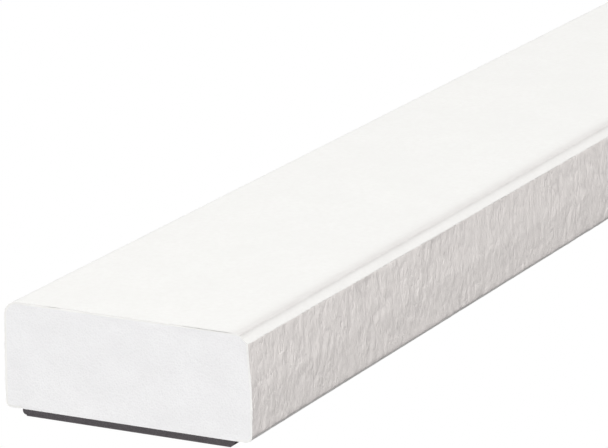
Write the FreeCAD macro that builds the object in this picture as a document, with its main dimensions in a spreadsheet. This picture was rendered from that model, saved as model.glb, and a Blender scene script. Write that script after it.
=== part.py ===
# Self-adhesive foam edge buffer: a rectangular soft foam bar with a thin outer skin and a strip of
# double-sided foam tape under it. The bar lies along X and rests on the tape's release liner at Z = 0,
# with its creased long side towards -Y and its plain long side towards +Y. The origin is at the middle
# of the underside. Millimetres.
import FreeCAD, Part
import os
import Sketcher

DOC = FreeCAD.newDocument("foam_edge_buffer")

# Driving dimensions: alias, value in millimetres, meaning.
SIZES = [
    ("bar_length", 1000.0, "length of every layer"),
    ("bar_width", 50.0, "width over the skin"),
    ("bar_height", 20.0, "height of foam and skin, without the tape"),
    ("skin_thickness", 0.4, "outer skin"),
    ("tuck_width", 3.2, "skin folded under each long side"),
    ("top_round", 2.6, "round along the plain top edge"),
    ("back_foot_round", 0.9, "round along the plain bottom edge"),
    ("front_foot_round", 1.4, "round along the creased side's bottom edge"),
    ("lean_start", 9.0, "height at which the creased side starts to lean inwards"),
    ("lean_inset", 0.8, "how far it has leaned in at its sharp upper edge"),
    ("edge_drop", 1.7, "sharp upper edge of the creased side, below the top"),
    ("crease_inset", 2.2, "crease, in from the creased side"),
    ("crease_drop", 0.2, "crease, below the top"),
    ("shoulder_width", 2.6, "sloping part of the top beside the crease"),
    ("crease_depth", 0.15, "groove pressed into the skin along the crease"),
    ("crease_mouth", 0.3, "how far the groove's mouth spreads past the crease"),
    ("tape_width", 43.0, "foam tape"),
    ("carrier_thickness", 0.95, "foam tape's dark carrier"),
    ("carrier_round", 0.8, "round along the carrier's two bottom edges"),
    ("adhesive_thickness", 0.1, "each of the tape's two adhesive films"),
    ("liner_thickness", 0.1, "release liner"),
]

CARRIER_FOOT = "sizes.liner_thickness + sizes.adhesive_thickness"
CARRIER_HEAD = f"{CARRIER_FOOT} + sizes.carrier_thickness"
BAR_FOOT = f"{CARRIER_HEAD} + sizes.adhesive_thickness"
FLAT_WIDTH = "sizes.tape_width - 2 * sizes.carrier_round"
TOUCH_MM = 1e-4


def make_sheet():
    """The spreadsheet that drives every size, one row for each dimension."""
    sheet = DOC.addObject("Spreadsheet::Sheet", "sizes")
    for row, (alias, value, meaning) in enumerate(SIZES, 1):
        sheet.set(f"A{row}", alias)
        sheet.set(f"B{row}", str(value))
        sheet.set(f"C{row}", meaning)
        sheet.setAlias(f"B{row}", alias)
    DOC.recompute()
    return sheet


def add_body(label):
    """An empty body with its own label."""
    body = DOC.addObject("PartDesign::Body", label)
    body.Label = label
    return body


def add_section(body, name, corners):
    """A closed sketch across the bar, in the body's YZ plane. Each corner is a pair of expressions:
    its distance across the bar and its height."""
    sketch = body.newObject("Sketcher::SketchObject", name)
    plane = [f for f in body.Origin.OriginFeatures if f.Role == "YZ_Plane"][0]
    sketch.AttachmentSupport = [(plane, "")]
    sketch.MapMode = "FlatFace"
    points = [FreeCAD.Vector(value_of(y), value_of(z), 0) for y, z in corners]
    count = len(points)
    for i in range(count):
        sketch.addGeometry(Part.LineSegment(points[i], points[(i + 1) % count]), False)
    for i in range(count):
        sketch.addConstraint(Sketcher.Constraint("Coincident", i, 2, (i + 1) % count, 1))
    for i, (y, z) in enumerate(corners):
        for axis, expression in (("DistanceX", y), ("DistanceY", z)):
            value = value_of(expression)
            index = sketch.addConstraint(Sketcher.Constraint(axis, -1, 1, i, 1, value))
            sketch.setExpression(f"Constraints[{index}]", f"({expression}) * 1 mm")
    return sketch


def value_of(expression):
    """The number that an expression over the spreadsheet's cells comes to."""
    cells = {alias: DOC.sizes.get(alias) for alias, _, _ in SIZES}
    total = expression
    for alias in sorted(cells, key=len, reverse=True):
        total = total.replace(f"sizes.{alias}", repr(float(cells[alias])))
    return float(FreeCAD.Units.Quantity(total).Value)


def add_pad(body, sketch):
    """The section drawn out along the whole length, half to each side of the origin."""
    pad = body.newObject("PartDesign::Pad", f"{sketch.Name}_pad")
    pad.Profile = sketch
    pad.SideType = "Symmetric"
    pad.setExpression("Length", "sizes.bar_length")
    DOC.recompute()
    return pad


def long_edge(feature, y, z):
    """The name of the feature's edge that runs along X through (y, z)."""
    for number, edge in enumerate(feature.Shape.Edges, 1):
        ends = [v.Point for v in edge.Vertexes]
        along = len(ends) == 2 and abs(ends[0].x - ends[1].x) > 1
        if along and all(abs(p.y - y) < TOUCH_MM and abs(p.z - z) < TOUCH_MM for p in ends):
            return f"Edge{number}"
    raise RuntimeError(f"no long edge at {y}, {z}")


def add_round(body, feature, name, corners, radius):
    """A fillet of that radius along the long edges at those corners."""
    edges = [long_edge(feature, value_of(y), value_of(z)) for y, z in corners]
    fillet = body.newObject("PartDesign::Fillet", name)
    fillet.Base = (feature, edges)
    fillet.setExpression("Radius", radius)
    DOC.recompute()
    return fillet


def add_cut(body, name, corners):
    """A section cut away along the whole length. It has to take something off."""
    before = body.Shape.Volume
    pocket = body.newObject("PartDesign::Pocket", name)
    pocket.Profile = add_section(body, f"{name}_section", corners)
    pocket.SideType = "Symmetric"
    pocket.setExpression("Length", "sizes.bar_length * 1 mm + 2 mm")
    DOC.recompute()
    if body.Shape.Volume > before - 1:
        raise RuntimeError(f"{name} cuts nothing")


def bar_corners(inset):
    """The bar's section without its underside, from the creased side's foot over the top to the
    plain side's foot, moved inwards by that much. The sloping corners move less than the square ones,
    so that the skin comes out equally thick along every face."""
    front = f"-sizes.bar_width / 2 + {inset}"
    back = f"sizes.bar_width / 2 - {inset}"
    foot = f"{BAR_FOOT} + {inset}"
    head = f"{BAR_FOOT} + sizes.bar_height - {inset}"
    knee = (front, f"{BAR_FOOT} + sizes.lean_start")
    edge = (
        f"-sizes.bar_width / 2 + sizes.lean_inset + 0.98 * {inset}",
        f"{BAR_FOOT} + sizes.bar_height - sizes.edge_drop - 0.31 * {inset}",
    )
    crease = (
        f"-sizes.bar_width / 2 + sizes.crease_inset + 0.6 * {inset}",
        f"{BAR_FOOT} + sizes.bar_height - sizes.crease_drop - 0.96 * {inset}",
    )
    shoulder = (f"-sizes.bar_width / 2 + sizes.crease_inset + sizes.shoulder_width", head)
    return [(front, foot), knee, edge, crease, shoulder, (back, head), (back, foot)]


def add_bar_rounds(body, form, corners, inset):
    """The rounds along the bottom edges and the plain top edge, smaller further in."""
    rounds = [
        ("front_foot", corners[0], "sizes.front_foot_round"),
        ("top", corners[5], "sizes.top_round"),
        ("back_foot", corners[6], "sizes.back_foot_round"),
    ]
    for name, place, radius in rounds:
        form = add_round(body, form, f"{body.Name}_{name}_round", [place], f"{radius} - {inset}")


def make_core():
    """The soft foam core. It stands proud between the two folds of the skin, flush with them."""
    side = "(sizes.bar_width / 2 - sizes.tuck_width)"
    inset = "sizes.skin_thickness"
    corners = bar_corners(inset)
    stand = [
        (side, f"{BAR_FOOT} + {inset}"),
        (side, BAR_FOOT),
        (f"-{side}", BAR_FOOT),
        (f"-{side}", f"{BAR_FOOT} + {inset}"),
    ]
    body = add_body("foam_core")
    pad = add_pad(body, add_section(body, "core_section", corners + stand))
    add_bar_rounds(body, pad, corners, inset)
    return body


def make_skin(core):
    """The thin outer skin: the bar's outer form, with a groove pressed in along the crease, less the
    core. It goes over the top, down both long sides and folds in under them, open at the ends."""
    corners = bar_corners("0")
    form = add_body("bar_form")
    pad = add_pad(form, add_section(form, "form_section", corners))
    add_bar_rounds(form, pad, corners, "0")
    y = "-sizes.bar_width / 2 + sizes.crease_inset"
    z = f"{BAR_FOOT} + sizes.bar_height - sizes.crease_drop"
    add_cut(form, "crease_groove", [
        (f"{y} + sizes.crease_depth / 2", f"{z} - sizes.crease_depth"),
        (f"{y} + sizes.crease_mouth", f"{z} + sizes.crease_mouth"),
        (f"{y} - sizes.crease_mouth", f"{z} + sizes.crease_mouth"),
    ])
    skin = DOC.addObject("Part::Cut", "cover_skin")
    skin.Label = "cover_skin"
    skin.Base = form
    skin.Tool = core
    DOC.recompute()
    if skin.Shape.Volume > form.Shape.Volume / 2:
        raise RuntimeError("the core takes nothing out of the skin")
    return skin


def make_film(label, width, thickness, foot):
    """A flat film the length of the bar."""
    film = DOC.addObject("Part::Box", label)
    film.Label = label
    film.setExpression("Length", "sizes.bar_length")
    film.setExpression("Width", width)
    film.setExpression("Height", thickness)
    film.setExpression("Placement.Base.x", "-sizes.bar_length / 2")
    film.setExpression("Placement.Base.y", f"-({width}) / 2")
    film.setExpression("Placement.Base.z", foot)
    return film


def make_carrier():
    """The tape's dark foam carrier, with its two bottom edges rounded."""
    left = "-sizes.tape_width / 2"
    right = "sizes.tape_width / 2"
    corners = [(left, CARRIER_FOOT), (left, CARRIER_HEAD), (right, CARRIER_HEAD), (right, CARRIER_FOOT)]
    body = add_body("tape_carrier")
    pad = add_pad(body, add_section(body, "carrier_section", corners))
    add_round(body, pad, "carrier_foot_round", [corners[0], corners[3]], "sizes.carrier_round")
    return body


def write_parts(parts):
    """Checks every object and each sub-part's shape, then writes parts/LABEL.step."""
    DOC.recompute()
    for item in DOC.Objects:
        if {"Invalid", "Error"} & set(item.State):
            raise RuntimeError(f"{item.Label} failed: {item.State}")
    os.makedirs("parts", exist_ok=True)
    for item in parts:
        shape = item.Shape
        if shape.isNull() or not shape.isValid() or not shape.Solids:
            raise RuntimeError(f"{item.Label} has no valid solid")
        shape.exportStep(f"parts/{item.Label}.step")
        box = shape.BoundBox
        print(f"{item.Label}: {box.XLength:.2f} x {box.YLength:.2f} x {box.ZLength:.2f} mm,"
              f" Z {box.ZMin:.2f} to {box.ZMax:.2f}, {len(shape.Solids)} solid,"
              f" {shape.Volume / 1000:.2f} cm3")


make_sheet()
foam_core = make_core()
cover_skin = make_skin(foam_core)
upper_adhesive = make_film("upper_adhesive", "sizes.tape_width", "sizes.adhesive_thickness", CARRIER_HEAD)
tape_carrier = make_carrier()
lower_adhesive = make_film("lower_adhesive", FLAT_WIDTH, "sizes.adhesive_thickness", "sizes.liner_thickness")
release_liner = make_film("release_liner", FLAT_WIDTH, "sizes.liner_thickness", "0 mm")
write_parts([foam_core, cover_skin, upper_adhesive, tape_carrier, lower_adhesive, release_liner])
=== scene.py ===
"""Self-adhesive foam buffer bar, seen from its near end and its creased long side.

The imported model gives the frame. The foam core, its outer skin and the foam tape are rebuilt here as
fine meshes with the foam's cells, the skin's wrinkles and its cut ends; the adhesive films and the
release liner stay as they are and get materials. The object's lengths are millimetres, measured in
the row frame, until a mesh is made. The stage, the lights and the camera are in metres.
"""

import bpy
import numpy as np
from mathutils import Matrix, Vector
from mathutils.geometry import delaunay_2d_cdt


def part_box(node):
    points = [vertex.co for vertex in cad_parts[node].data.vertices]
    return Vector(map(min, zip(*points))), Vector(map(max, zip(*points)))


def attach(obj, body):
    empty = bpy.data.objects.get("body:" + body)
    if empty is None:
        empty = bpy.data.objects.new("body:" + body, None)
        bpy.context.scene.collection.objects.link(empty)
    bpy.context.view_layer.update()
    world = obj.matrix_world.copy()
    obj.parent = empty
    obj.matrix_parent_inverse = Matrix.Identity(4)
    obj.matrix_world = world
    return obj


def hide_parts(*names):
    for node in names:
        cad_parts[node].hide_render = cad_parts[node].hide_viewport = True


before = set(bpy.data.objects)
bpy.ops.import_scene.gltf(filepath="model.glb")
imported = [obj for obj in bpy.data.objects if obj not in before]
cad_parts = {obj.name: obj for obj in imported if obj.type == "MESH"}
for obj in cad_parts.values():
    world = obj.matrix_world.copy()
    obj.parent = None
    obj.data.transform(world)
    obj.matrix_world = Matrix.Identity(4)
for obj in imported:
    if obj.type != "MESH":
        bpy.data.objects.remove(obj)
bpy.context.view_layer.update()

MM = 0.001


def node_box(name):
    """A CAD node's lowest and highest corners, in millimetres."""
    low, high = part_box(name)
    return np.array(low) / MM, np.array(high) / MM


_, CORE_HIGH = node_box("foam_core")
SKIN_LOW, SKIN_HIGH = node_box("cover_skin")
TAPE_LOW, TAPE_HIGH = node_box("tape_carrier")

# The bar's section, from the CAD's own boxes and the CAD's driving dimensions.
HALF_LENGTH = SKIN_HIGH[0]
HALF_WIDTH = SKIN_HIGH[1]
FOOT = SKIN_LOW[2]
HEAD = SKIN_HIGH[2]
SKIN = HEAD - CORE_HIGH[2]
FOLD_WIDTH = 3.2
TOP_ROUND = 2.6
BACK_FOOT_ROUND = 0.9
FRONT_FOOT_ROUND = 1.4
LEAN_START = 9.0
LEAN_INSET = 0.8
EDGE_DROP = 1.7
CREASE_INSET = 2.2
CREASE_DROP = 0.2
CREASE_DEPTH = 0.1
CREASE_INWARD = (0.6, -0.96)
EDGE_INWARD = (0.98, -0.31)
SHOULDER_WIDTH = 2.6
SHOULDER_POWER = 2.5
CARRIER_ROUND = 0.8


# ---------------------------------------------------------------- noise

class Noise:
    """Smooth random values over two coordinates, the same on every run. Cell sizes are in
    millimetres. A call returns values of about -1 to 1, and 0 along wandering lines."""

    SIZE = 257

    def __init__(self, seed, cell_a, cell_b):
        angle = np.random.default_rng(seed).uniform(0, 2 * np.pi, (self.SIZE, self.SIZE))
        self.slopes = (np.cos(angle), np.sin(angle))
        self.cell = (cell_a, cell_b)

    def corner(self, ia, ib, da, db):
        ia, ib = ia % self.SIZE, ib % self.SIZE
        return self.slopes[0][ia, ib] * da + self.slopes[1][ia, ib] * db

    def __call__(self, a, b):
        a = np.asarray(a, float) / self.cell[0] + 1000.3
        b = np.asarray(b, float) / self.cell[1] + 1000.6
        ia, ib = np.floor(a).astype(int), np.floor(b).astype(int)
        da, db = a - ia, b - ib
        ta, tb = [t * t * t * (t * (6 * t - 15) + 10) for t in (da, db)]
        low = self.corner(ia, ib, da, db) * (1 - ta) + self.corner(ia + 1, ib, da - 1, db) * ta
        high = self.corner(ia, ib + 1, da, db - 1) * (1 - ta)
        high = high + self.corner(ia + 1, ib + 1, da - 1, db - 1) * ta
        return 1.5 * (low * (1 - tb) + high * tb)


def smooth(low, high, x):
    """0 below low, 1 above high, and a smooth step between."""
    t = np.clip((x - low) / (high - low), 0, 1)
    return t * t * (3 - 2 * t)


# ---------------------------------------------------------------- sections

def arc(centre, radius, start, end, count):
    """Points on an arc in the YZ plane, from one angle to the other in degrees."""
    angles = np.radians(np.linspace(start, end, count))
    return [(centre[0] + radius * np.cos(t), centre[1] + radius * np.sin(t)) for t in angles]


def toward(start, end, distance):
    """The point that far along the way from start to end."""
    step = np.array(end) - np.array(start)
    return tuple(np.array(start) + step * distance / np.hypot(*step))


def resample(points, spacing):
    """The line through the points with more points on each stretch, at most that far apart. The
    points given are kept, so corners stay sharp."""
    out = [points[0]]
    for (y0, z0), (y1, z1) in zip(points, points[1:]):
        length = np.hypot(y1 - y0, z1 - z0)
        count = max(1, int(np.ceil(length / spacing)))
        out += [(y0 + (y1 - y0) * i / count, z0 + (z1 - z0) * i / count) for i in range(1, count + 1)]
    return out


def crease_point(inset):
    """Where the creased side begins, on the outer face or that far inside it."""
    y, z = -HALF_WIDTH + CREASE_INSET, HEAD - CREASE_DROP
    return (y + CREASE_INWARD[0] * inset, z + CREASE_INWARD[1] * inset)


def edge_point(inset):
    """The creased side's sharp upper edge."""
    y, z = -HALF_WIDTH + LEAN_INSET, HEAD - EDGE_DROP
    return (y + EDGE_INWARD[0] * inset, z + EDGE_INWARD[1] * inset)


def groove_point():
    """The bottom of the groove along the crease."""
    y, z = crease_point(0)
    return (y + CREASE_DEPTH / 2, z - CREASE_DEPTH)


def curve(start, bend, end, count):
    """Points on the quadratic curve from start to end that heads for bend at first."""
    start, bend, end = [np.array(p) for p in (start, bend, end)]
    steps = np.linspace(0, 1, count)
    return [tuple((1 - t) ** 2 * start + 2 * t * (1 - t) * bend + t * t * end) for t in steps]


def band(start, end):
    """The hollow band from the crease down to the sharp edge: steep at first, then flatter."""
    return curve(start, (start[0] - BAND_BEND[0], end[1] + BAND_BEND[1]), end, 8)


def front_line(inset):
    """The creased side's line, from the crease over the sharp edge to the end of the fold."""
    side = -HALF_WIDTH
    edge = edge_point(inset)
    knee = (side + inset, FOOT + LEAN_START)
    centre = (side + FRONT_FOOT_ROUND, FOOT + FRONT_FOOT_ROUND)
    foot = arc(centre, FRONT_FOOT_ROUND - inset, 180, 270, 8)
    fold = (side + FOLD_WIDTH, FOOT + inset)
    if inset:
        return [crease_point(inset), edge, knee] + foot + [fold]
    lip = toward(crease_point(0), edge, CREASE_LIP)
    slope = band(lip, edge)
    corner = curve(toward(edge, slope[-2], EDGE_ROUND), edge, toward(edge, knee, EDGE_ROUND), 6)
    return [groove_point()] + slope[:-1] + corner + [knee] + foot + [fold]


def top_line(inset):
    """The flat top's line, from the crease over the shoulder to where the plain side's begins."""
    crease = crease_point(inset)
    seam = (BACK_SEAM, HEAD - inset)
    shoulder = (-HALF_WIDTH + CREASE_INSET + SHOULDER_WIDTH, HEAD - inset)
    if inset:
        return [crease, shoulder, seam]
    steps = np.linspace(CREASE_LIP / SHOULDER_WIDTH, 1, 10)
    drop = HEAD - crease[1]
    rise = [(crease[0] + t * SHOULDER_WIDTH, HEAD - drop * (1 - t) ** SHOULDER_POWER) for t in steps]
    return [groove_point()] + rise + [seam]


def back_line(inset):
    """The plain side's line, from the flat top over the rounded edge to the end of the fold."""
    side = HALF_WIDTH
    top = arc((side - TOP_ROUND, HEAD - TOP_ROUND), TOP_ROUND - inset, 90, 0, 12)
    centre = (side - BACK_FOOT_ROUND, FOOT + BACK_FOOT_ROUND)
    foot = arc(centre, BACK_FOOT_ROUND - inset, 0, -90, 8)
    return [(BACK_SEAM, HEAD - inset)] + top + foot + [(side - FOLD_WIDTH, FOOT + inset)]


def core_outline():
    """The foam core's closed section, which fills the skin and stands proud between its folds."""
    top = top_line(SKIN)
    under = [(HALF_WIDTH - FOLD_WIDTH, FOOT), (-HALF_WIDTH + FOLD_WIDTH, FOOT)]
    front = front_line(SKIN)[::-1]
    return top + back_line(SKIN)[1:] + under + front[:-1]


def carrier_outline():
    """The tape carrier's closed section, square above and rounded below."""
    half, foot, head = TAPE_HIGH[1], TAPE_LOW[2], TAPE_HIGH[2]
    centre = half - CARRIER_ROUND
    right = arc((centre, foot + CARRIER_ROUND), CARRIER_ROUND, 0, -90, 6)
    left = arc((-centre, foot + CARRIER_ROUND), CARRIER_ROUND, -90, -180, 6)
    return [(half, head)] + right + left + [(-half, head)]


# ---------------------------------------------------------------- meshes

def make_mesh(name, points, faces, body, material, values=None):
    """A piece from points in millimetres and lists of corners, riding on a CAD body. The values are
    one number for each point, kept under their names for the material."""
    data = bpy.data.meshes.new(name)
    data.from_pydata((np.asarray(points) * MM).tolist(), [], faces)
    data.update()
    for key, numbers in (values or {}).items():
        layer = data.attributes.new(key, "FLOAT", "POINT")
        layer.data.foreach_set("value", np.asarray(numbers, np.float32))
    data.polygons.foreach_set("use_smooth", [True] * len(data.polygons))
    data.set_sharp_from_angle(angle=np.radians(SHARP_ANGLE))
    data.materials.append(material)
    obj = bpy.data.objects.new(name, data)
    bpy.context.scene.collection.objects.link(obj)
    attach(obj, body)
    return obj


def grid_faces(rows, columns, first=0):
    """The quads of a grid of points stored row after row."""
    i = np.arange(rows - 1)[:, None] * columns + np.arange(columns - 1)[None, :] + first
    return np.stack([i, i + 1, i + columns + 1, i + columns], -1).reshape(-1, 4).tolist()


def zip_faces(first, second, points):
    """Triangles between two rows of points, each step taken where the rows are nearest level."""
    def share(row):
        steps = np.linalg.norm(np.diff(points[row], axis=0), axis=1)
        return np.append(0, np.cumsum(steps)) / steps.sum()

    a, b = share(first), share(second)
    faces, i, j = [], 0, 0
    while i < len(first) - 1 or j < len(second) - 1:
        if j == len(second) - 1 or (i < len(first) - 1 and a[i + 1] < b[j + 1]):
            faces.append([first[i], first[i + 1], second[j]])
            i += 1
        else:
            faces.append([first[i], second[j + 1], second[j]])
            j += 1
    return faces


def outward(line):
    """The unit normals of a line that goes round the section clockwise or anticlockwise, pointing
    away from the middle of the bar."""
    line = np.array(line)
    along = np.gradient(line, axis=0)
    normal = np.stack([along[:, 1], -along[:, 0]], 1)
    normal /= np.linalg.norm(normal, axis=1)[:, None]
    middle = np.array([0, (FOOT + HEAD) / 2])
    facing = np.sign(((line - middle) * normal).sum(1).sum())
    return normal * facing


def stations(fine, fine_length, coarse):
    """Places along X from the near end to the far one, closer together over the first stretch."""
    start, end = -HALF_LENGTH, HALF_LENGTH
    split = start + fine_length
    near = np.linspace(start, split, int(fine_length / fine) + 1)
    far = np.linspace(split, end, max(2, int((end - split) / coarse) + 1))
    return np.append(near, far[1:])


def skin_piece(name, line, spacing, places, relief, slit):
    """A closed strip of the outer skin along the whole bar. relief gives how far the outer face
    stands out at each point and how much painted shade it gets there, in its creases, on the band and
    at the foot; slit gives how deep the hairline split in the cut edge goes at each end. The material
    gets the painted shade, and which points are on an upright side."""
    outer = np.array(resample(line(0), spacing))
    inner = np.array(resample(line(SKIN), INNER_SPACING))
    length = np.append(0, np.cumsum(np.hypot(*np.diff(outer, axis=0).T)))
    height, crease = relief(places[:, None], length[None, :], outer)
    normal = outward(outer)

    count, wide = len(places), len(outer)
    face = np.empty((count, wide, 3))
    face[..., 0] = places[:, None]
    face[..., 1:] = outer[None] + height[..., None] * normal[None]
    back = np.empty((count, len(inner), 3))
    back[..., 0] = places[:, None]
    back[..., 1:] = inner[None]
    points = [face.reshape(-1, 3), back.reshape(-1, 3)]
    back_first = count * wide
    faces = grid_faces(count, wide)
    faces += [f[::-1] for f in grid_faces(count, len(inner), back_first)]
    for edge, back_edge in ((0, 0), (wide - 1, len(inner) - 1)):
        a = np.arange(count) * wide + edge
        b = np.arange(count) * len(inner) + back_edge + back_first
        quads = np.stack([a[:-1], b[:-1], b[1:], a[1:]], 1)
        faces += (quads if edge == 0 else quads[:, ::-1]).tolist()

    total = back_first + count * len(inner)
    for end, row in ((-1, 0), (1, count - 1)):
        trim = TRIM_WAVE * TRIM_NOISE(length, OTHER_ROW * end)
        rows = [row * wide + np.arange(wide)]
        for depth, recess in SLIT_STEPS:
            ring = face[row].copy()
            ring[:, 1:] -= normal * depth * SKIN
            ring[:, 0] += trim * end - end * recess * slit(end, length, outer)
            points.append(ring)
            rows.append(total + np.arange(wide))
            total += wide
        for a, b in zip(rows, rows[1:]):
            quads = np.stack([a[:-1], b[:-1], b[1:], a[1:]], 1)
            faces += (quads[:, ::-1] if end < 0 else quads).tolist()
        last = row * len(inner) + np.arange(len(inner)) + back_first
        every = np.concatenate(points)
        closing = zip_faces(rows[-1].tolist(), last.tolist(), every)
        faces += closing if end > 0 else [f[::-1] for f in closing]
    points = np.concatenate(points)
    extra = len(points) - count * wide
    side = np.abs(normal[:, 0]) > SIDE_FACING
    # The "crease" value is painted shade for the skin's colour; "side" marks the upright sides, which
    # get wrinkle bumps and painted shade.
    values = {
        "crease": np.append(crease.reshape(-1), np.zeros(extra)),
        "side": np.append(np.tile(side, count), np.zeros(extra)),
    }
    piece = make_mesh(name, points, faces, "bar", SKIN_MATERIAL, values)
    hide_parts("cover_skin")
    return piece


def filled_piece(name, outline, places, spacing, seed, relief, material, node):
    """A solid bar of that section with its two cut ends filled with small triangles, so that the
    ends can be as uneven as cut foam."""
    ring = np.array(resample(outline + outline[:1], spacing)[:-1])
    count = len(ring)
    low, high = ring.min(0), ring.max(0)
    rng = np.random.default_rng(seed)
    grid = [np.arange(a + spacing / 2, b, spacing) for a, b in zip(low, high)]
    inside = np.stack(np.meshgrid(*grid), -1).reshape(-1, 2)
    inside = inside + rng.uniform(-FILL_SHIFT, FILL_SHIFT, inside.shape) * spacing
    keep = distance_to(ring, inside) > spacing * FILL_GAP
    plan = [Vector(p) for p in np.concatenate([ring, inside[keep]])]
    edges = [(i, (i + 1) % count) for i in range(count)]
    plan, _, cap, *_ = delaunay_2d_cdt(plan, edges, [list(range(count))], 1, MERGE)
    plan = np.array([tuple(p) for p in plan])

    wall = np.empty((len(places), count, 3))
    wall[..., 0] = places[:, None]
    wall[..., 1:] = plan[:count]
    points = [wall.reshape(-1, 3)]
    loops = np.arange(count + 1) % count
    faces = []
    for i in range(len(places) - 1):
        a, b = i * count + loops[:-1], i * count + loops[1:]
        faces += np.stack([a, b, b + count, a + count], 1).tolist()
    total = len(places) * count
    for end, row in ((-1, 0), (1, len(places) - 1)):
        fill = plan[count:]
        depth = smooth(0, END_FADE, distance_to(ring, fill))
        out = relief(end, fill) * depth
        points.append(np.column_stack([places[row] + end * out, fill]))
        index = np.append(row * count + np.arange(count), total + np.arange(len(fill)))
        faces += [[int(index[i]) for i in (f if end > 0 else f[::-1])] for f in cap]
        total += len(fill)
    piece = make_mesh(name, np.concatenate(points), faces, "bar", material)
    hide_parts(node)
    return piece


def distance_to(ring, points):
    """How far each point is from the closed line."""
    best = np.full(len(points), 1e9)
    for a, b in zip(ring, np.roll(ring, -1, axis=0)):
        step = b - a
        t = np.clip(((points - a) @ step) / (step @ step), 0, 1)
        best = np.minimum(best, np.hypot(*(points - a - t[:, None] * step).T))
    return best


# ---------------------------------------------------------------- relief

# Lengths and heights are in millimetres. A pair that smooth() takes is where a change begins and where
# it is whole.
BACK_SEAM = HALF_WIDTH - TOP_ROUND - 3.0
BAND_BEND = (0.12, 0.85)
CREASE_LIP = 0.12
EDGE_ROUND = 0.24
INNER_SPACING = 4.0
SHARP_ANGLE = 38
SIDE_FACING = 0.95
FILL_SHIFT = 0.3
FILL_GAP = 0.6
MERGE = 1e-7
OTHER_ROW = 40

# Wrinkles on the two sides.
SWELL = Noise(42, 60.0, 14.0)
SWELL_HEIGHT = 0.06
WARP_ALONG = Noise(21, 7.0, 6.0)
WARP_UP = Noise(22, 5.0, 9.0)
WARP_FINE = Noise(23, 1.8, 1.6)
FINE_WARP = 0.45
WRINKLES = [
    # seed, cell across the wrinkle, cell along it, lean in degrees from upright, height
    (31, 5.2, 13.0, 4, 0.26),
    (32, 3.8, 8.0, 38, 0.19),
    (33, 3.3, 7.0, -30, 0.16),
    (34, 1.9, 3.6, 10, 0.13),
    (35, 1.2, 2.0, -14, 0.09),
]
WRINKLE_NOISES = [
    (Noise(seed, across, along), Noise(seed + 100, 4 * across, along), np.radians(lean), height)
    for seed, across, along, lean, height in WRINKLES
]
BULGE_BLUNT = 0.01
BULGE_MIDDLE = 0.5
GATE = (-0.3, 0.5)
GATE_LEAST = 0.2
VALLEY = 0.12
VALLEY_FULL_HEIGHT = 0.2

# The creased side alone.
BELOW_EDGE = (0.0, 0.6)
ABOVE_FOOT = (-0.1, 1.0)
CALM_LENGTH = (2, 7)
CALM_HEIGHT = (12, 17)
CALM_SHARE = 0.8
EDGE_WAVE = Noise(51, 8.0, 10.0)
EDGE_WAVE_HEIGHT = 0.11
EDGE_WAVE_REACH = 1.2
EDGE_WAVE_FADE = (0.6, 1.0)
# A second, fainter line of painted shade on the band beside the crease, which comes and goes.
CREASE_GATE = Noise(56, 16.0, 5.0)
SECOND_PLACE = 0.8
SECOND_WANDER = 0.15
SECOND_WIDTH = 0.24
SECOND_SHADE = 0.5
SECOND_GATE = (-0.5, 0.3)
# Painted shade over the band below the crease and along the foot of the creased side.
BAND_START = (-0.1, 0.2)
BAND_SHADE = 0.38
FOOT_START = (2.2, 0.8)
FOOT_SHADE = 0.44
FOOT_UNEVEN = 0.3

# The plain side alone.
BACK_OFFSET = 700
BACK_SHARE = 0.8
UPRIGHT = (1.5, 0.1)

# The crease's shade, which reaches less far on the creased side than on the top.
PINCH = Noise(55, 5.0, 0.6)
PINCH_UNEVEN = 0.25
FRONT_SHADE_REACH = 0.5
TOP_SHADE_REACH = 1.7

# The top, and the cut ends.
TOP_SWELL = Noise(52, 28.0, 13.0)
TOP_SWELL_HEIGHT = 0.05
TOP_GRAIN = Noise(53, 2.6, 2.0)
TOP_GRAIN_HEIGHT = 0.018
TOP_FADE = 2.0
CUT_WAVE = Noise(54, 300.0, 9.0)
CUT_WAVE_HEIGHT = 0.12
CUT_WAVE_REACH = 9
TRIM_NOISE = Noise(11, 3.0, 30.0)
TRIM_WAVE = 0.05
SLIT_STEPS = [(0.0, 0.0), (0.14, 0.0), (0.16, 1.0), (0.32, 1.0), (0.35, 0.0)]
SLIT_DEPTH = 0.5
LONG_SLIT = (10.6, 13.0, 19.5, 21.6)
SHORT_SLIT = (-16.4, -15.6, -14.4, -13.6)
SHORT_SLIT_SHARE = 0.7
END_FADE = 0.5
END_SHIFT = 90
CELLS = [(Noise(61, 0.6, 0.6), 0.006), (Noise(62, 1.8, 1.5), 0.009), (Noise(63, 8.0, 6.0), 0.06)]


def wrinkled(x, height, offset):
    """Wrinkles down a side: how far the skin stands out, and how deep in a crease each point is.
    Each kind of wrinkle is a field of rounded bulges between sharp valleys, drawn out along its own
    lean, and comes and goes along the bar."""
    x = x + offset
    a = x + WARP_ALONG(x, height) + FINE_WARP * WARP_FINE(x, height)
    b = height + WARP_UP(x, height)
    relief = SWELL_HEIGHT * SWELL(x, height)
    # depth marks the wrinkle valleys, which the skin's colour darkens as painted shade.
    depth = np.zeros_like(relief)
    for noise, gate, lean, tall in WRINKLE_NOISES:
        across = a * np.cos(lean) - b * np.sin(lean)
        along = a * np.sin(lean) + b * np.cos(lean)
        value = np.abs(noise(across, along))
        bulge = np.sqrt(value + BULGE_BLUNT) - BULGE_MIDDLE
        strength = GATE_LEAST + (1 - GATE_LEAST) * smooth(*GATE, gate(across, along))
        relief = relief + tall * bulge * strength
        valley = 1 - smooth(0, VALLEY, value)
        depth = np.maximum(depth, valley * strength * min(1, tall / VALLEY_FULL_HEIGHT))
    return relief, depth


def above_foot(height):
    """0 under the bar, and 1 from a little above its foot."""
    return smooth(FOOT + ABOVE_FOOT[0], FOOT + ABOVE_FOOT[1], height)


def crease_shade(x, length, reach):
    """The shade along the crease, uneven along the bar, that fades with the distance from it."""
    return np.exp(-(length / reach) ** 2) * (1 + PINCH_UNEVEN * PINCH(x, length))


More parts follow.
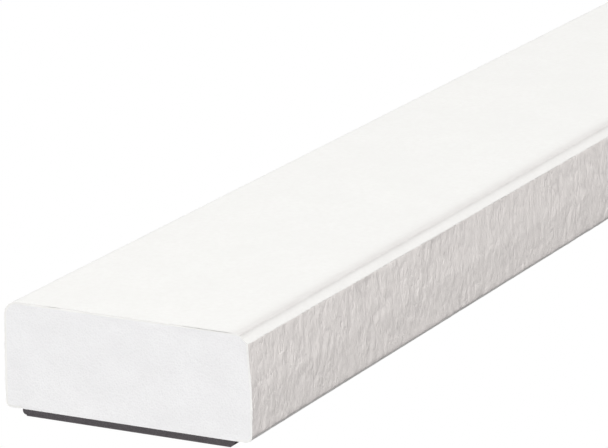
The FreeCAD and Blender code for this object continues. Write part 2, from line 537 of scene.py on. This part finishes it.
def front_relief(x, length, line):
    """The creased side: wrinkled below its sharp edge, with a wave in that edge, and calm at the top
    of its near end. Painted shade darkens the crease, a second, fainter line on the band beside it that
    comes and goes, the band itself and the foot."""
    edge = edge_point(0)[1]
    height = line[:, 1]
    down = smooth(*BELOW_EDGE, edge - height) * above_foot(height)
    near = 1 - smooth(*CALM_LENGTH, x + HALF_LENGTH)
    calm = 1 - CALM_SHARE * near * smooth(*CALM_HEIGHT, height)
    relief, depth = wrinkled(x, height[None, :], 0)
    ends = smooth(0, EDGE_WAVE_FADE[0], length) * smooth(0, EDGE_WAVE_FADE[1], length.max() - length)
    at_edge = smooth(EDGE_WAVE_REACH, 0, np.abs(height - edge)) * ends
    edge_wave = EDGE_WAVE_HEIGHT * EDGE_WAVE(x, 0) * at_edge
    # Painted shade for the colour: the crease line, a fainter second line beside it, the band and the
    # foot.
    place = SECOND_PLACE + SECOND_WANDER * CREASE_GATE(x, OTHER_ROW)
    second = SECOND_SHADE * np.exp(-((length - place) / SECOND_WIDTH) ** 2)
    shade = crease_shade(x, length, FRONT_SHADE_REACH)
    shade = shade + second * smooth(*SECOND_GATE, CREASE_GATE(x, 0))
    shade = np.maximum(shade, BAND_SHADE * smooth(edge + BAND_START[0], edge + BAND_START[1], height))
    foot = smooth(FOOT + FOOT_START[0], FOOT + FOOT_START[1], height) * FOOT_SHADE
    foot = foot * (1 + FOOT_UNEVEN * PINCH(x, length))
    return relief * down * calm + edge_wave, np.maximum(depth * down * calm, shade) + foot


def back_relief(x, length, line):
    """The plain side: wrinkled on its upright part only, with painted shade in the wrinkles' valleys."""
    height = line[:, 1]
    upright = smooth(HALF_WIDTH - UPRIGHT[0], HALF_WIDTH - UPRIGHT[1], line[:, 0])
    upright = upright * smooth(FOOT, FOOT + ABOVE_FOOT[1], height)
    relief, depth = wrinkled(x, height[None, :], BACK_OFFSET)
    return BACK_SHARE * relief * upright, BACK_SHARE * depth * upright


def top_relief(x, length, line):
    """The flat top: almost even, with a low swell, a faint grain and a wavy cut end, and painted
    shade that fades with the distance from the crease.
    """
    ends = smooth(0, TOP_FADE, length) * smooth(0, TOP_FADE, length.max() - length)
    y = line[:, 0][None, :]
    near_end = 1 - smooth(0, CUT_WAVE_REACH, HALF_LENGTH - np.abs(x))
    relief = TOP_SWELL_HEIGHT * TOP_SWELL(x, y) + TOP_GRAIN_HEIGHT * TOP_GRAIN(x, y)
    relief = relief + CUT_WAVE_HEIGHT * near_end * CUT_WAVE(x, y)
    return relief * ends, crease_shade(x, length, TOP_SHADE_REACH)


def no_slit(end, length, line):
    """No split in the cut edge."""
    return np.zeros(len(line))


def stretch(places, y):
    """1 between the middle two places, 0 outside the outer two, and a smooth step between."""
    return smooth(places[0], places[1], y) * smooth(places[3], places[2], y)


def top_slit(end, length, line):
    """The hairline split in the top skin's cut edge, in two stretches at each end."""
    y = line[:, 0] * end
    return SLIT_DEPTH * (stretch(LONG_SLIT, y) + SHORT_SLIT_SHARE * stretch(SHORT_SLIT, y))


def foam_ends(end, points):
    """The uneven face of cut foam, from fine cells up to the waver of the blade. The two ends differ."""
    total = np.zeros(len(points))
    for noise, size in CELLS:
        total += size * noise(points[:, 0] + END_SHIFT * end, points[:, 1])
    return total


# ---------------------------------------------------------------- materials

class Shader:
    """A node material built step by step, in the row frame's millimetres."""

    def __init__(self, name):
        self.material = bpy.data.materials.new(name)
        self.material.use_nodes = True
        self.tree = self.material.node_tree
        self.surface = self.tree.nodes["Principled BSDF"]
        place = self.tree.nodes.new("ShaderNodeTexCoord").outputs["Object"]
        self.place = self.scaled(place, (1 / MM, 1 / MM, 1 / MM))

    def node(self, kind, inputs=None, **settings):
        """A node with its settings, and its inputs by name: a value, or another node's output."""
        made = self.tree.nodes.new(kind)
        for key, value in settings.items():
            setattr(made, key, value)
        for key, value in (inputs or {}).items():
            if isinstance(value, bpy.types.NodeSocket):
                self.tree.links.new(value, made.inputs[key])
            else:
                made.inputs[key].default_value = value
        return made

    def scaled(self, place, factors):
        mapping = self.node("ShaderNodeMapping", {"Vector": place, "Scale": factors})
        return mapping.outputs["Vector"]

    def noise(self, cell, detail=2.0, stretch=(1, 1, 1)):
        """Noise whose cells are that many millimetres, times the stretch along X, Y and Z."""
        place = self.scaled(self.place, tuple(1 / (cell * f) for f in stretch))
        made = self.node("ShaderNodeTexNoise", {"Vector": place, "Scale": 1.0, "Detail": detail})
        return made.outputs["Fac"]

    def cells(self, cell):
        """Rounded cells about that many millimetres across."""
        place = self.scaled(self.place, (1 / cell,) * 3)
        made = self.node("ShaderNodeTexVoronoi", {"Vector": place, "Scale": 1.0})
        return made.outputs["Distance"]

    def attribute(self, name):
        return self.node("ShaderNodeAttribute", attribute_name=name).outputs["Fac"]

    def math(self, operation, a, b):
        return self.node("ShaderNodeMath", {0: a, 1: b}, operation=operation).outputs[0]

    def ramp(self, value, low, high, out_low, out_high):
        """value moved from the range low to high into the range out_low to out_high."""
        inputs = {"Value": value, "From Min": low, "From Max": high}
        inputs.update({"To Min": out_low, "To Max": out_high})
        return self.node("ShaderNodeMapRange", inputs).outputs["Result"]

    def mix(self, factor, a, b, blend="MIX"):
        """Two colours mixed by a factor. Each is a colour or a node's output."""
        a, b = [c if isinstance(c, bpy.types.NodeSocket) else (*c, 1.0) for c in (a, b)]
        inputs = {0: factor, 6: a, 7: b}
        made = self.node("ShaderNodeMix", inputs, data_type="RGBA", blend_type=blend)
        return made.outputs[2]

    def bump(self, height, distance, under=None):
        """A bump of that height in millimetres, over another bump if one is given."""
        inputs = {"Height": height, "Distance": distance * MM, "Strength": 1.0}
        if under is not None:
            inputs["Normal"] = under
        return self.node("ShaderNodeBump", inputs).outputs["Normal"]

    def finish(self, color, roughness, normal=None, **constants):
        self.tree.links.new(color, self.surface.inputs["Base Color"])
        self.tree.links.new(roughness, self.surface.inputs["Roughness"])
        if normal is not None:
            self.tree.links.new(normal, self.surface.inputs["Normal"])
        for key, value in constants.items():
            self.surface.inputs[key.replace("_", " ")].default_value = value
        return self.material


def skin_material():
    """Matt ivory skin: faint mottling and pores, and on the two sides fine upright wrinkles and a
    crackle that comes and goes. The creases, the band and the foot are darkened with painted shade,
    and the upright sides get a darker, warmer painted shade."""
    shade = Shader("ivory_skin")
    side = shade.attribute("side")
    crease = shade.attribute("crease")
    cloud = shade.ramp(shade.noise(9.0, 3.0), 0.3, 0.7, 0, 1)
    color = shade.mix(cloud, SKIN_COLORS[0], SKIN_COLORS[1])
    speck = shade.ramp(shade.noise(cell=0.9), 0.35, 0.7, 0, 0.8)
    color = shade.mix(speck, color, SKIN_COLORS[2])
    # Painted shade: the upright sides are coloured darker and warmer than the top.
    color = shade.mix(shade.math("MULTIPLY", side, SIDE_PAINTED_SHADE_SHARE), color, SIDE_PAINTED_SHADE)
    # Painted shade in the creases, on the band and along the foot, from the "crease" value.
    color = shade.mix(shade.math("MULTIPLY", crease, CREASE_PAINTED_SHADE_SHARE), color, CREASE_PAINTED_SHADE)
    roughness = shade.ramp(shade.noise(1.5, 3.0), 0.3, 0.7, 0.62, 0.78)
    pores = shade.bump(shade.noise(cell=0.5, detail=3.0), distance=0.020)
    upright = shade.noise(cell=0.7, detail=4.0, stretch=(1, 1, 2.2))
    lines = shade.bump(shade.math("MULTIPLY", upright, side), distance=0.12, under=pores)
    field = shade.noise(cell=2.0, detail=3.0, stretch=(1, 1, 1.7))
    valley = shade.math("ABSOLUTE", shade.math("SUBTRACT", field, 0.5), 0)
    patches = shade.ramp(shade.noise(cell=8.0), 0.35, 0.65, 0.3, 1.2)
    crackle = shade.math("MULTIPLY", shade.ramp(valley, 0, 0.09, 0, 1), side)
    crackle = shade.math("MULTIPLY", crackle, patches)
    normal = shade.bump(crackle, distance=0.06, under=lines)
    return shade.finish(color, roughness, normal, Specular_IOR_Level=0.25)


def foam_material():
    """Bare cut foam: very fine cells, matt, a little cooler than the skin."""
    shade = Shader("cut_foam")
    cells = shade.cells(0.42)
    grain = shade.noise(0.3, 3.0)
    cloud = shade.ramp(shade.noise(cell=5.0, detail=3.0), 0.3, 0.7, 0, 1)
    color = shade.mix(cloud, FOAM_COLORS[0], FOAM_COLORS[1])
    color = shade.mix(shade.ramp(cells, 0.0, 0.45, 0.55, 0.0), color, FOAM_COLORS[2])
    roughness = shade.ramp(grain, 0.3, 0.7, 0.85, 0.98)
    normal = shade.bump(grain, 0.009, shade.bump(cells, 0.018))
    return shade.finish(color, roughness, normal, Specular_IOR_Level=0.15)


def carrier_material():
    """Dark grey foam tape with fine open cells."""
    shade = Shader("dark_foam_tape")
    cells = shade.cells(0.22)
    color = shade.mix(shade.ramp(cells, 0.05, 0.5, 1, 0), CARRIER_COLORS[0], CARRIER_COLORS[1])
    color = shade.mix(shade.ramp(shade.noise(2.5, 3.0), 0.35, 0.7, 0, 0.5), color, CARRIER_COLORS[2])
    roughness = shade.ramp(shade.noise(0.5, 2.0), 0.3, 0.7, 0.75, 0.92)
    normal = shade.bump(cells, 0.05)
    return shade.finish(color, roughness, normal, Specular_IOR_Level=0.25)


def adhesive_material():
    """A glossy dark film of tacky adhesive, with small trapped bubbles."""
    shade = Shader("tacky_adhesive")
    streak = shade.noise(1.2, 3.0, (8, 1, 1))
    color = shade.mix(shade.ramp(streak, 0.3, 0.7, 0, 1), CARRIER_COLORS[0], CARRIER_COLORS[2])
    roughness = shade.ramp(streak, 0.3, 0.7, 0.12, 0.30)
    bubbles = shade.ramp(shade.cells(1.7), 0.0, 0.25, 1, 0)
    normal = shade.bump(bubbles, 0.02, shade.bump(streak, 0.02))
    return shade.finish(color, roughness, normal, Specular_IOR_Level=0.5)


def liner_material():
    """A satin release film, embossed with a fine lattice so that it peels cleanly."""
    shade = Shader("release_film")
    turn = {"Vector": shade.place, "Rotation": (0, 0, np.radians(45))}
    turned = shade.node("ShaderNodeMapping", turn)
    split = shade.node("ShaderNodeSeparateXYZ", {0: turned.outputs["Vector"]})
    ribs = []
    for axis in ("X", "Y"):
        phase = shade.math("MULTIPLY", split.outputs[axis], 2 * np.pi / EMBOSS_PITCH)
        wave = shade.math("SINE", phase, 0)
        ribs.append(shade.ramp(wave, 0.75, 1.0, 0, 1))
    lattice = shade.math("MAXIMUM", *ribs)
    cloud = shade.noise(14.0, 3.0)
    color = shade.mix(shade.ramp(cloud, 0.3, 0.7, 0, 1), LINER_COLORS[0], LINER_COLORS[1])
    color = shade.mix(shade.math("MULTIPLY", lattice, 0.25), color, LINER_COLORS[2])
    roughness = shade.ramp(cloud, 0.3, 0.7, 0.34, 0.46)
    normal = shade.bump(lattice, 0.03, shade.bump(cloud, 0.25))
    return shade.finish(color, roughness, normal, Specular_IOR_Level=0.5)


SKIN_COLORS = [(0.895, 0.892, 0.872), (0.875, 0.872, 0.852), (0.86, 0.852, 0.832)]
# The colour of the painted shade on the upright sides, and how much of it they get.
SIDE_PAINTED_SHADE = (0.870, 0.817, 0.792)
SIDE_PAINTED_SHADE_SHARE = 0.8
# The colour of the painted shade in the creases, on the band and along the foot, and how much of it they
# get.
CREASE_PAINTED_SHADE = (0.60, 0.565, 0.555)
CREASE_PAINTED_SHADE_SHARE = 0.48
FOAM_COLORS = [(0.865, 0.863, 0.868), (0.845, 0.84, 0.847), (0.775, 0.765, 0.775)]
CARRIER_COLORS = [(0.084, 0.076, 0.082), (0.044, 0.040, 0.043), (0.104, 0.096, 0.101)]
LINER_COLORS = [(0.115, 0.105, 0.11), (0.10, 0.092, 0.096), (0.16, 0.15, 0.155)]
EMBOSS_PITCH = 1.6
SKIN_MATERIAL = skin_material()


# ---------------------------------------------------------------- pieces

FRONT_PLACES = stations(0.38, 300.0, 1.15)
BACK_PLACES = stations(0.70, 320.0, 0.85)
TOP_PLACES = stations(1.10, 320.0, 1.40)
CORE_PLACES = np.array([-HALF_LENGTH, -HALF_LENGTH + 1, HALF_LENGTH - 1, HALF_LENGTH])
FRONT_SPACING = 0.62
TOP_SPACING = 1.5
BACK_SPACING = 0.9
CORE_SPACING = 0.36
CARRIER_SPACING = 0.2
CORE_SEED = 5
CARRIER_SEED = 6

skin_piece("skin_creased_side", front_line, FRONT_SPACING, FRONT_PLACES, front_relief, no_slit)
skin_piece("skin_top", top_line, TOP_SPACING, TOP_PLACES, top_relief, top_slit)
skin_piece("skin_plain_side", back_line, BACK_SPACING, BACK_PLACES, back_relief, no_slit)

core = filled_piece("foam_core_cut", core_outline(), CORE_PLACES, CORE_SPACING, CORE_SEED,
                    foam_ends, foam_material(), "foam_core")

filled_piece("tape_carrier_cut", carrier_outline(), CORE_PLACES, CARRIER_SPACING, CARRIER_SEED,
             foam_ends, carrier_material(), "tape_carrier")

for node_name, material in (
    ("upper_adhesive", adhesive_material()),
    ("lower_adhesive", adhesive_material()),
    ("release_liner", liner_material()),
):
    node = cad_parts[node_name]
    node.data.materials.clear()
    node.data.materials.append(material)


# ---------------------------------------------------------------- stage, light and camera

def white_to_camera(tree, shader, output):
    """Mixes in pure white for what the camera itself sees, as on a cut-out product page, while the
    object's own light and shade come from the shader."""
    path = tree.nodes.new("ShaderNodeLightPath")
    for_material = output.type == "OUTPUT_MATERIAL"
    glow = tree.nodes.new("ShaderNodeEmission" if for_material else "ShaderNodeBackground")
    mix = tree.nodes.new("ShaderNodeMixShader")
    glow.inputs["Color"].default_value = (1, 1, 1, 1)
    glow.inputs["Strength"].default_value = 1.0
    tree.links.new(path.outputs["Is Camera Ray"], mix.inputs[0])
    tree.links.new(shader.outputs[0], mix.inputs[1])
    tree.links.new(glow.outputs[0], mix.inputs[2])
    tree.links.new(mix.outputs[0], output.inputs["Surface"])


def add_floor():
    """A plain pale floor just under the liner."""
    data = bpy.data.meshes.new("floor")
    signs = [(-1, -1), (1, -1), (1, 1), (-1, 1)]
    corners = [(x * FLOOR_REACH, y * FLOOR_REACH, -FLOOR_GAP) for x, y in signs]
    data.from_pydata(corners, [], [(0, 1, 2, 3)])
    floor = bpy.data.objects.new("floor", data)
    bpy.context.scene.collection.objects.link(floor)
    material = bpy.data.materials.new("floor")
    material.use_nodes = True
    tree = material.node_tree
    tree.nodes["Principled BSDF"].inputs["Base Color"].default_value = (*[FLOOR_GREY] * 3, 1)
    tree.nodes["Principled BSDF"].inputs["Roughness"].default_value = FLOOR_ROUGHNESS
    white_to_camera(tree, tree.nodes["Principled BSDF"], tree.nodes["Material Output"])
    data.materials.append(material)


def add_sky():
    """Even light from all round."""
    world = bpy.data.worlds.new("studio")
    bpy.context.scene.world = world
    world.use_nodes = True
    background = world.node_tree.nodes["Background"]
    background.inputs["Color"].default_value = (1, 1, 1, 1)
    background.inputs["Strength"].default_value = SKY_STRENGTH
    white_to_camera(world.node_tree, background, world.node_tree.nodes["World Output"])


def add_softbox(name, direction, watts):
    """A square area light in that direction from the bar's near part, aimed at it."""
    light = bpy.data.lights.new(name, "AREA")
    light.shape = "SQUARE"
    light.size = SOFTBOX_SIZE
    light.energy = watts
    obj = bpy.data.objects.new(name, light)
    bpy.context.scene.collection.objects.link(obj)
    way = Vector(direction).normalized()
    obj.location = LIGHT_TARGET + way * SOFTBOX_DISTANCE
    obj.rotation_euler = (-way).to_track_quat("-Z", "Y").to_euler()


def add_camera():
    """A long lens from beyond the near end, looking down along the creased side."""
    camera = bpy.data.cameras.new("camera")
    camera.lens = CAMERA_LENS
    camera.sensor_width = CAMERA_SENSOR
    camera.clip_end = CAMERA_CLIP
    obj = bpy.data.objects.new("camera", camera)
    bpy.context.scene.collection.objects.link(obj)
    obj.location = CAMERA_PLACE
    yaw, pitch = np.radians(CAMERA_YAW), np.radians(CAMERA_PITCH)
    look = Vector((np.cos(yaw) * np.cos(pitch), np.sin(yaw) * np.cos(pitch), -np.sin(pitch)))
    obj.rotation_euler = look.to_track_quat("-Z", "Y").to_euler()
    bpy.context.scene.camera = obj


# Metres, degrees and watts.
FLOOR_REACH = 12.0
FLOOR_GAP = 0.0004
FLOOR_ROUGHNESS = 0.9
FLOOR_GREY = 0.32
SKY_STRENGTH = 0.50
LIGHT_TARGET = Vector((-0.4, 0, 0.02))
SOFTBOX_DISTANCE = 11.0
SOFTBOX_SIZE = 5.4
SOFTBOXES = [
    ("key", (-0.6, -0.27, 0.75), 925.0),
    ("fill", (-0.80, -0.60, 0.12), 285.0),
    ("back fill", (0.65, 0.75, 0.08), 170.0),
]
CAMERA_LENS = 249.6
CAMERA_SENSOR = 36.0
CAMERA_CLIP = 50.0
CAMERA_PLACE = (-1.1315, -0.3437, 0.2332)
CAMERA_YAW = 26.04
CAMERA_PITCH = 15.17

add_floor()
add_sky()
for softbox in SOFTBOXES:
    add_softbox(*softbox)
add_camera()
bpy.context.scene.view_settings.view_transform = "Standard"
bpy.context.view_layer.update()
